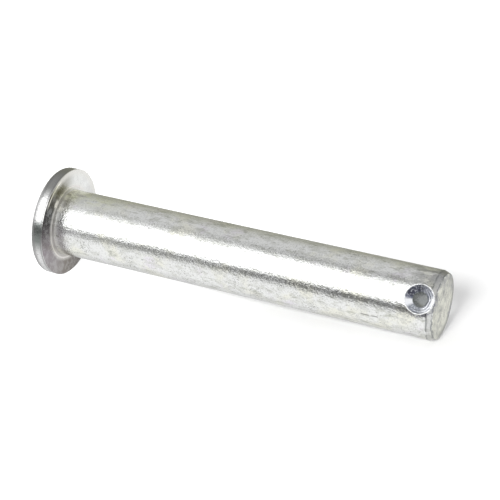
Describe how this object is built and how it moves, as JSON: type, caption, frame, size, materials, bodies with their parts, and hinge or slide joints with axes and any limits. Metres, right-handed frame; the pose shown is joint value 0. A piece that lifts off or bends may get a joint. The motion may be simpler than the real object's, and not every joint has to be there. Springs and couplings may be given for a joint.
{
  "type": "clevis pin",
  "caption": "Round steel clevis pin with a flat round head and a flared cross hole near its tip for a split pin.",
  "frame": {"origin": "centre of the head's outer face, on which the pin stands", "axes": "+Z along the shank from the head to the tip; the cross hole runs along X"},
  "size_m": [0.026, 0.026, 0.0984],
  "materials": {
    "zinc_plate": "bright zinc plating over a slightly grainy turned bar, with faint yellow-green tints"
  },
  "bodies": {
    "root": {"clevis_pin": "zinc_plate"}
  },
  "joints": []
}
